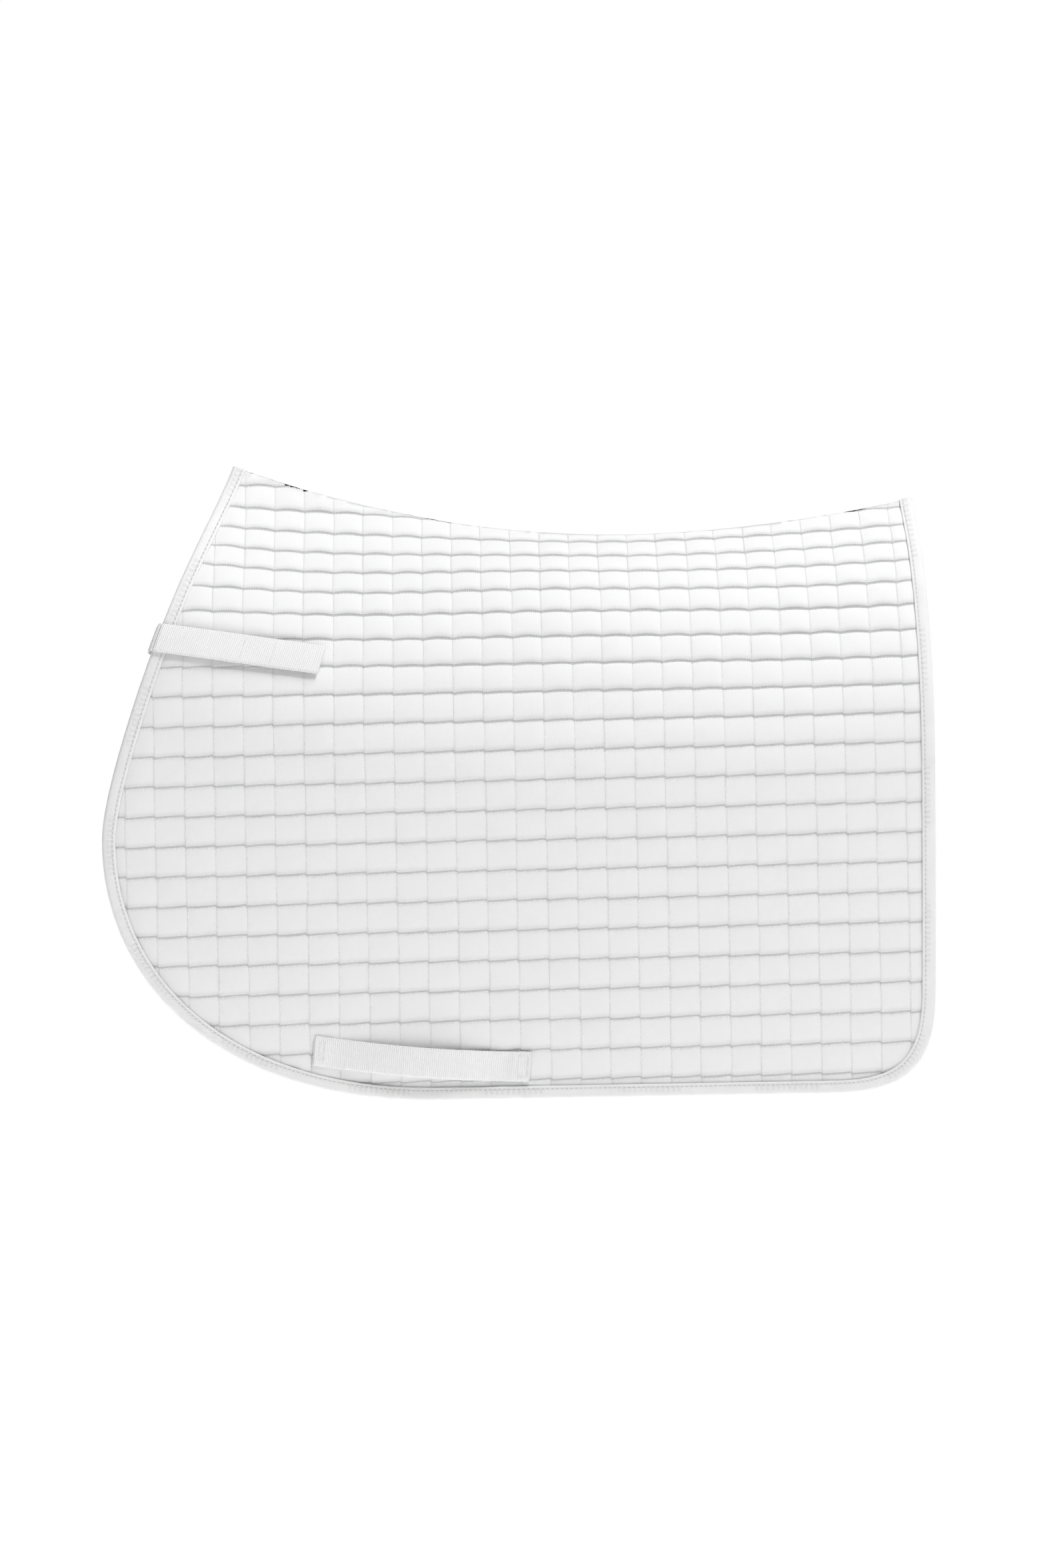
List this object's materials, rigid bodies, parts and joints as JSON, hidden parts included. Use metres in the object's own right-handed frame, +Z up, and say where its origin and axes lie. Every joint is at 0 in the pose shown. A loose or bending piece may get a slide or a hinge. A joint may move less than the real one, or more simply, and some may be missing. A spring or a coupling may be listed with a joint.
{
  "type": "saddle pad",
  "caption": "Quilted saddle pad with bound edges, front straps closed by hook and loop, and girth loops, draped as on a horse.",
  "frame": {"origin": "underside of the spine, on the seam, where the pad rests on the horse's back", "axes": "+X towards the tail, along the spine; +Z up; Y across, with the spine seam on y = 0 and the near (left) side on -Y"},
  "size_m": [0.6948, 0.2836, 0.5363],
  "materials": {
    "shell_cotton": "quilted white cotton",
    "foam": "open-cell foam",
    "lining_cotton": "brushed white cotton",
    "binding_tape": "woven tape",
    "webbing": "ribbed webbing",
    "thread": "polyester thread",
    "hook_tape": "nylon hooks",
    "loop_pile": "nylon loop pile"
  },
  "bodies": {
    "spine": {"spine_tape": "binding_tape", "spine_tape_stitching": "thread"},
    "left_half": {"left_outer_shell": "shell_cotton", "left_foam_core": "foam", "left_lining": "lining_cotton", "left_edge_binding": "binding_tape", "left_binding_stitching": "thread", "left_strap_anchor": "webbing", "left_strap_fold": "webbing", "left_strap_stitching": "thread", "left_loop_patch": "loop_pile", "left_girth_loop": "webbing", "left_girth_loop_stitching": "thread"},
    "left_strap": {"left_strap_tail": "webbing", "left_hook_patch": "hook_tape", "left_hook_patch_stitching": "thread"},
    "right_half": {"right_outer_shell": "shell_cotton", "right_foam_core": "foam", "right_lining": "lining_cotton", "right_edge_binding": "binding_tape", "right_binding_stitching": "thread", "right_strap_anchor": "webbing", "right_strap_fold": "webbing", "right_strap_stitching": "thread", "right_loop_patch": "loop_pile", "right_girth_loop": "webbing", "right_girth_loop_stitching": "thread"},
    "right_strap": {"right_strap_tail": "webbing", "right_hook_patch": "hook_tape", "right_hook_patch_stitching": "thread"}
  },
  "joints": [
    {"name": "left_half_fold", "type": "hinge", "parent": "spine", "child": "left_half", "pos_m": [0, 0, 0.02], "axis": [-1, 0, 0], "range_deg": [-12, 70], "stiffness_Nm_per_rad": 1.2, "springref_deg": 18.33, "deforming": ["left_outer_shell", "left_foam_core", "left_lining", "left_edge_binding", "left_binding_stitching"]},
    {"name": "left_strap_peel", "type": "hinge", "parent": "left_half", "child": "left_strap", "pos_m": [-0.30279, -0.1207, -0.08602], "axis": [-0.3269, -0.2752, -0.9041], "range_deg": [0, 140], "deforming": ["left_strap_fold"]},
    {"name": "right_half_fold", "type": "hinge", "parent": "spine", "child": "right_half", "pos_m": [0, 0, 0.02], "axis": [1, 0, 0], "range_deg": [-12, 70], "stiffness_Nm_per_rad": 1.2, "springref_deg": 18.33, "deforming": ["right_outer_shell", "right_foam_core", "right_lining", "right_edge_binding", "right_binding_stitching"]},
    {"name": "right_strap_peel", "type": "hinge", "parent": "right_half", "child": "right_strap", "pos_m": [-0.30279, 0.1207, -0.08602], "axis": [0.3269, -0.2752, 0.9041], "range_deg": [0, 140], "deforming": ["right_strap_fold"]}
  ]
}
